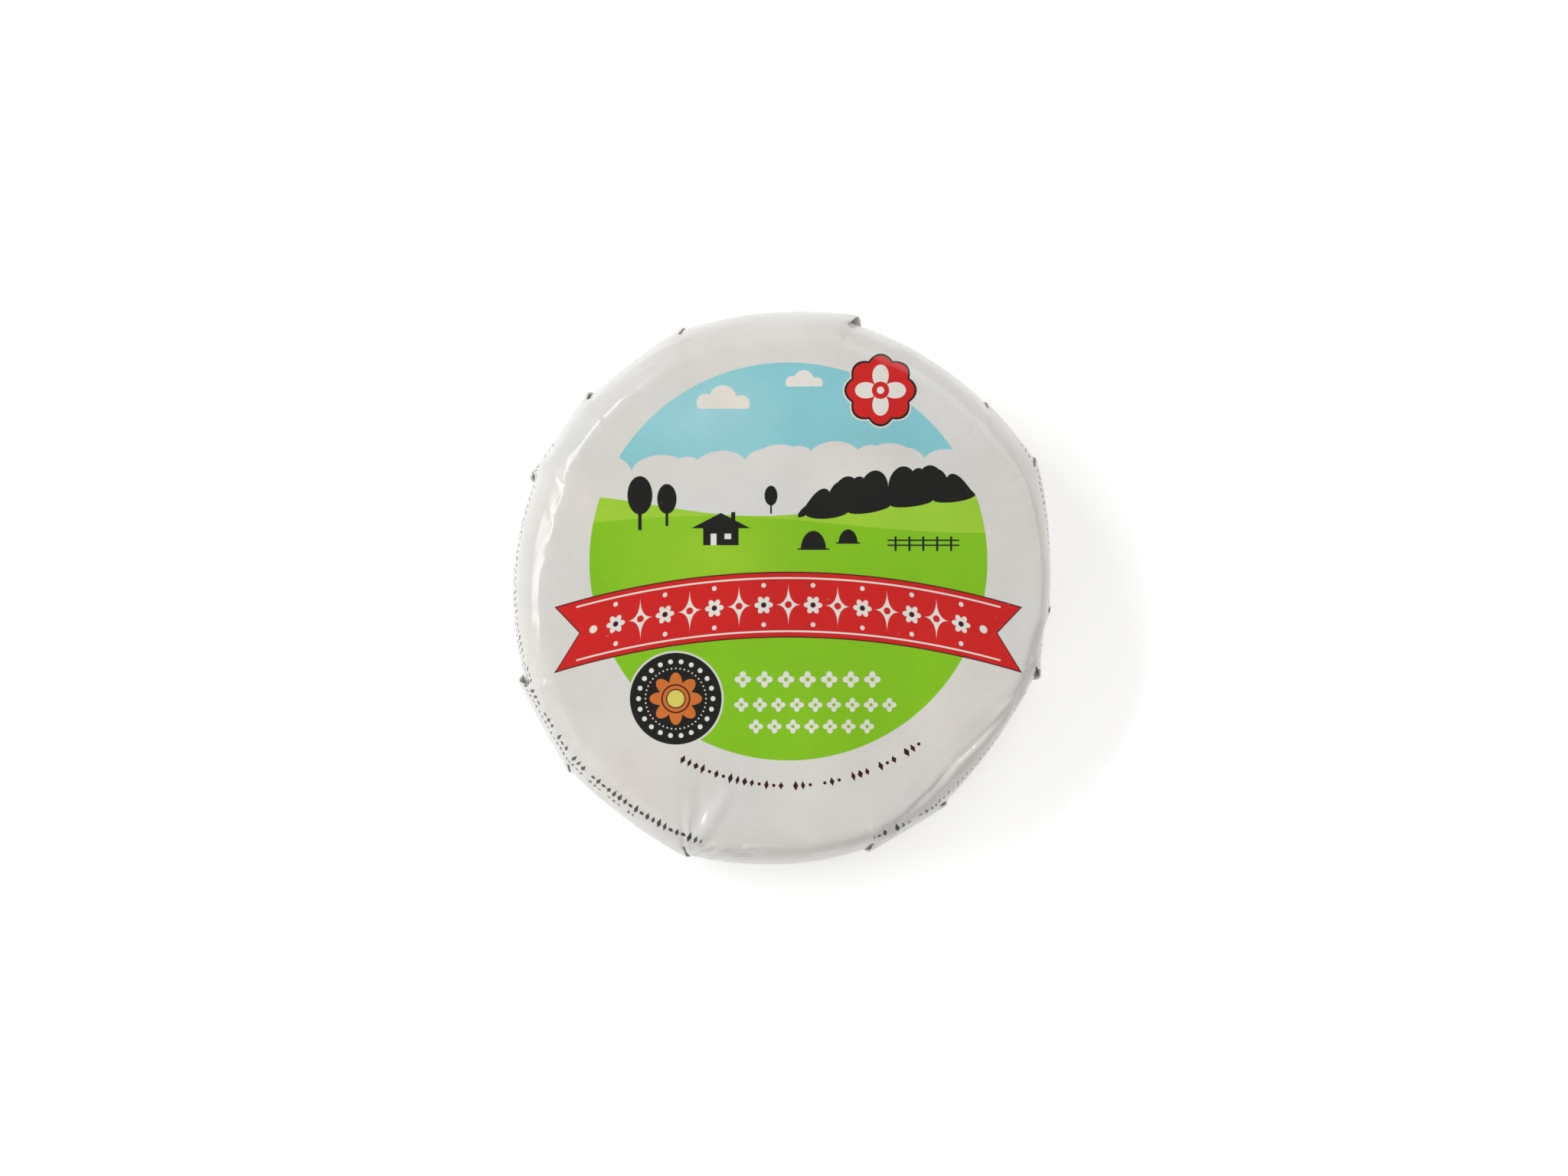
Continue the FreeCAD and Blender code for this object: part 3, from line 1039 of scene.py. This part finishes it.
def paint_band(art):
    """A red band with notched ends, cream piping, and stars and flowers along it."""
    x, y = art.x, art.y - BAND_MIDDLE
    across = y + x * x / BAND_SAG
    notch = (BAND_HALF_HEIGHT - abs(across)) * 0.75
    band = both(abs(across) - BAND_HALF_HEIGHT, abs(x) + notch - BAND_HALF_LENGTH)
    art.paint(band, RED)
    art.outline(band, 0.16, BROWN)
    piping, piping_end = BAND_PIPING
    art.paint(both(abs(abs(across) - piping) - 0.22, abs(x) - piping_end), CREAM)
    offset, _ = repeat(x, BAND_REPEAT)
    between, _ = repeat(x - 0.5 * BAND_REPEAT, BAND_REPEAT)
    star = (abs(offset) / 3.3).made("SQRT") + (abs(across) / 5.6).made("SQRT") - 1
    dots = either(disc(between, across - 5.1, 0.6), disc(between, across + 5.1, 0.6))
    for shape, end, colour in (
        (star * 3, BAND_STARS_END, CREAM),
        (disc(offset, across, 0.9), BAND_STARS_END, RED),
        (PETALS(between, across, 2.4, 6, 0.42), BAND_FLOWERS_END, CREAM),
        (disc(between, across, 0.7), BAND_FLOWERS_END, BROWN),
        (dots, BAND_FLOWERS_END, CREAM),
    ):
        art.paint(both(shape, abs(x) - end), colour)
    art.paint(disc(abs(x) - 50.6, across, 1), CREAM)


def paint_badge(art):
    """A dark round badge with a ring of beads and an orange flower."""
    x, y = art.at(BADGE_PLACE)
    art.paint(disc(x, y, BADGE_RADIUS + 0.5), PAPER)
    art.paint(disc(x, y, BADGE_RADIUS), DARK)
    art.paint(BEADS(x, y, 0.81 * BADGE_RADIUS, 22, 0.62), CREAM)
    art.paint(BEADS(x, y, 0.66 * BADGE_RADIUS, 44, 0.2), CREAM)
    art.paint(PETALS(x, y, 0.57 * BADGE_RADIUS, 8, 0.36), ORANGE)
    art.outline(disc(x, y, 0.3 * BADGE_RADIUS), 0.2, BROWN)
    art.paint(disc(x, y, 0.2 * BADGE_RADIUS), YELLOW)
    art.outline(disc(x, y, 0.2 * BADGE_RADIUS), 0.16, BROWN)


def paint_rosette(art):
    """A red and cream rosette with a dark rim, on the edge of the picture."""
    x, y = art.at(ROSETTE_PLACE)
    flower = PETALS(x, y, ROSETTE_RADIUS, 8, 0.14)
    art.paint(flower - 0.45, PAPER)
    art.paint(flower, DARK)
    art.paint(flower + 0.6, RED)
    art.paint(PETALS(x, y, 0.7 * ROSETTE_RADIUS, 4, 0.72), CREAM)
    art.paint(disc(x, y, 0.24 * ROSETTE_RADIUS), RED)
    art.paint(disc(x, y, 0.1 * ROSETTE_RADIUS), CREAM)


def paint_fine_lines(art):
    """Lines of tiny marks below the picture and on the side of the pack."""
    radius = hypot(art.x, art.y)
    from_foot = art.x.made("ARCTAN2", -art.y)
    below = MARKS(from_foot * LINE_RADIUS, radius - LINE_RADIUS, 1.9, 2.6)
    middle, half = LINE_SPAN
    art.paint(both(below, (abs(from_foot - middle) - half) * LINE_RADIUS), BROWN)
    for line, period, height, shift, start in SIDE_LINES:
        marks = MARKS(from_foot * line + shift, radius - line, period, height)
        ends = both(start - abs(from_foot), abs(from_foot) - SIDE_LINES_END) * line
        art.paint(both(marks, ends), DARK)


# -------- the paper's finish

CLOUD_SIZE = 22
TOOTH_SIZE = 0.7
TOOTH_DEPTH = 0.03
TONE_AND_SHEEN_RANGE = 0.34                      # from the darkest to the lightest paper: uneven tone, and painted sheen in soft light and grey patches
TINT_RANGES = (0.06, -0.04, -0.14)     # the same for red, green and blue, from cool to warm paper
ROUGHNESS = (0.4, 0.25)                # middle and range
SPECK_COVER = 0.12


def skin_group():
    """Uneven ink and paper tone with painted sheen in soft light and grey patches, uneven gloss and the fine
    tooth of coated paper.
    """
    tree = bpy.data.node_groups.new("coated_paper", "ShaderNodeTree")
    declare(tree, "INPUT", "Vector", "Place")
    declare(tree, "INPUT", "Float", "Cloud Size", "Tooth Size")
    declare(tree, "OUTPUT", "Float", "Tone And Sheen", "Tint", "Gloss", "Tooth", "Specks")
    given = add(tree, "NodeGroupInput").outputs

    def noise(size, detail):
        inputs = {"Vector": given["Place"], "Scale": 1 / size, "Detail": detail}
        return Term(tree, add(tree, "ShaderNodeTexNoise", inputs).outputs["Fac"])

    cloud_size, tooth_size = (Term(tree, given[label]) for label in ("Cloud Size", "Tooth Size"))
    tooth = noise(tooth_size, 2)
    add(tree, "NodeGroupOutput", {
        # soft lighter and darker patches: partly uneven tone, partly painted sheen
        "Tone And Sheen": noise(cloud_size, 3) * 0.75 + tooth * 0.25,
        "Tint": noise(cloud_size * 1.3, 1),
        "Gloss": noise(cloud_size * 0.35, 2),
        "Tooth": tooth,
        "Specks": noise(tooth_size * 1.7, 0).made("MULTIPLY_ADD", 16, -13.6, clamp=True),  # its peaks only
    })
    return tree


def new_material(name):
    """A material, with its node tree and its shader."""
    material = bpy.data.materials.new(name)
    material.use_nodes = True
    return material, material.node_tree, material.node_tree.nodes["Principled BSDF"]


def printed_paper():
    """Coated white paper with the print on its sheet map."""
    material, tree, shader = new_material("printed_wrap_paper")
    sheet = axes(tree, add(tree, "ShaderNodeUVMap", uv_map="sheet").outputs["UV"])
    art = Artwork(*((place - 0.5) * SHEET_SPAN - shift for place, shift in zip(sheet, PRINT_PLACE)))
    for paint in (
        paint_sky, paint_hills, paint_trees, paint_hut, paint_fence, paint_flowers, paint_band, paint_badge,
        paint_rosette, paint_fine_lines,
    ):
        paint(art)

    skin = add(tree, "ShaderNodeGroup", {
        "Place": add(tree, "ShaderNodeTexCoord").outputs["Object"],
        "Cloud Size": CLOUD_SIZE * MM,
        "Tooth Size": TOOTH_SIZE * MM,
    }, node_tree=skin_group())
    tone_and_sheen, tint, gloss, tooth, specks = (Term(tree, output) for output in skin.outputs)
    # The colour is made lighter and darker in soft patches: uneven tone, and painted sheen.
    level = add(tree, "ShaderNodeCombineColor", {
        channel: (tone_and_sheen - 0.5) * TONE_AND_SHEEN_RANGE + (tint - 0.5) * tint_range + 1
        for channel, tint_range in enumerate(TINT_RANGES)
    })
    shade = mixed(tree, 1, art.colour, level.outputs["Color"], "MULTIPLY")
    bump = add(tree, "ShaderNodeBump", {"Strength": 0.25, "Distance": TOOTH_DEPTH * MM, "Height": tooth})
    fill(tree, shader, {
        "Base Color": mixed(tree, specks * SPECK_COVER, shade, CREAM),
        "Roughness": (gloss - 0.5) * ROUGHNESS[1] + ROUGHNESS[0],
        "Specular IOR Level": 0.1,
        "Coat Weight": 0.55,
        "Coat Roughness": 0.15,
        "Normal": bump.outputs["Normal"],
    })
    return material


# -------- floor, light, camera; lengths in metres

WHITE = (1, 1, 1, 1)
FLOOR_COLOUR = (0.86, 0.86, 0.86, 1)
FLOOR_REACH = 3            # from the middle to each side
FLOOR_DROP = 0.0001        # how far it lies below the pack
FLOOR_GLOW = (0.4, 0.8)    # white added where the floor is seen: near the pack and far from it
WORLD_LEVEL = 0.26         # light from all round
OVERHEAD_LEVEL = 0.12      # what the paper mirrors straight above the pack; all round it is white
COOL = (0.955, 0.98, 1)
WARM = (1, 0.985, 0.955)
# Name, direction and elevation in degrees, distance, width and height, watts, colour.
LAMPS = (
    ("window_light", 157, 44, 1.1, 0.9, 0.17, 6.3, COOL),
    ("right_fill", 38, 38, 1.4, 1.7, 1.2, 9.8, WARM),
    ("front_fill", 222, 32, 1.4, 1.7, 1.2, 7.3, WARM),
)
LENS = 85                  # millimetres, for a sensor 36 wide
SENSOR_WIDTH = 36
VIEW_WIDTH = 0.416         # width of the view at VIEW_HEIGHT
VIEW_HEIGHT = 0.012
CAMERA_SHIFT = 0.0006      # to the right of the pack's middle


def seen_ray(tree):
    """1 for rays that show the background: from the camera, mirrored or let through."""
    path = add(tree, "ShaderNodeLightPath").outputs
    seen = Term(tree, path["Is Camera Ray"])
    for name in ("Is Glossy Ray", "Is Transmission Ray"):
        seen = seen.made("MAXIMUM", path[name])
    return seen


def floor():
    """A wide white floor that keeps the shadow."""
    mesh = bpy.data.meshes.new("studio_floor")
    signs = ((-1, -1), (1, -1), (1, 1), (-1, 1))
    mesh.from_pydata([(x * FLOOR_REACH, y * FLOOR_REACH, -FLOOR_DROP) for x, y in signs], [], [(0, 1, 2, 3)])
    piece = placed("studio_floor", mesh)
    material, tree, shader = new_material("white_floor")
    x, y, _ = axes(tree, add(tree, "ShaderNodeTexCoord").outputs["Object"])
    far = hypot(x, y).made("MULTIPLY_ADD", 1.2, -0.4, clamp=True)     # from 0 at 0.33 m to 1 at 1.17 m
    near_glow, far_glow = FLOOR_GLOW
    fill(tree, shader, {
        "Base Color": FLOOR_COLOUR,
        "Roughness": 0.9,
        "Specular IOR Level": 0,
        "Emission Color": WHITE,
        "Emission Strength": seen_ray(tree) * (far * (far_glow - near_glow) + near_glow),
    })
    mesh.materials.append(material)


def soft_box(name, direction, elevation, distance, wide, tall, watts, colour, centre):
    """An area lamp round the pack that looks at its centre."""
    lamp = bpy.data.lights.new(name, "AREA")
    lamp.shape = "RECTANGLE"
    lamp.size = wide
    lamp.size_y = tall
    lamp.energy = watts
    lamp.color = colour
    thing = placed(name, lamp)
    turn, tilt = math.radians(direction), math.radians(elevation)
    level = math.cos(tilt)
    away = Vector((level * math.cos(turn), level * math.sin(turn), math.sin(tilt)))
    thing.location = Vector(centre) + distance * away
    thing.rotation_euler = (-away).to_track_quat("-Z", "Y").to_euler()


def studio(centre):
    """The lamps and the world: daylight from the upper left, weaker light from two other sides."""
    for lamp in LAMPS:
        soft_box(*lamp, centre)
    world = bpy.data.worlds.new("studio_world")
    bpy.context.scene.world = world
    world.use_nodes = True
    tree = world.node_tree
    height = axes(tree, add(tree, "ShaderNodeTexCoord").outputs["Generated"])[2]
    overhead = height.made("MULTIPLY_ADD", 4, -2.2, clamp=True)       # 1 within 37 degrees of straight up
    shown = overhead * (OVERHEAD_LEVEL - 1) + 1
    seen = seen_ray(tree)
    level = shown * seen + (1 - seen) * WORLD_LEVEL
    fill(tree, tree.nodes["Background"], {"Color": WHITE, "Strength": level})


def camera(centre):
    """A long lens that looks straight down."""
    lens = bpy.data.cameras.new("camera")
    lens.lens = LENS
    lens.sensor_width = SENSOR_WIDTH
    lens.clip_start = 0.01
    thing = placed("camera", lens)
    thing.location = (centre[0] + CAMERA_SHIFT, centre[1], VIEW_HEIGHT + VIEW_WIDTH * LENS / SENSOR_WIDTH)
    bpy.context.scene.camera = thing


centre = tuple(np.mean(cad_bounds, axis=0))
paper = printed_paper()
wrap = grown("wrap_paper", wrap_mesh(), swell_tree(), {
    "Swell Height": 0.9 * MM,
    "Swell Size": 30 * MM,
    "Crinkle Height": 0.22 * MM,
    "Crinkle Size": 9 * MM,
    "Seed": SEED,
    "Finish": paper,
})
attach(wrap, "root")
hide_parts("wrapped_cheese")
floor()
studio(centre)
camera(centre)

scene = bpy.context.scene
scene.view_settings.view_transform = "Standard"
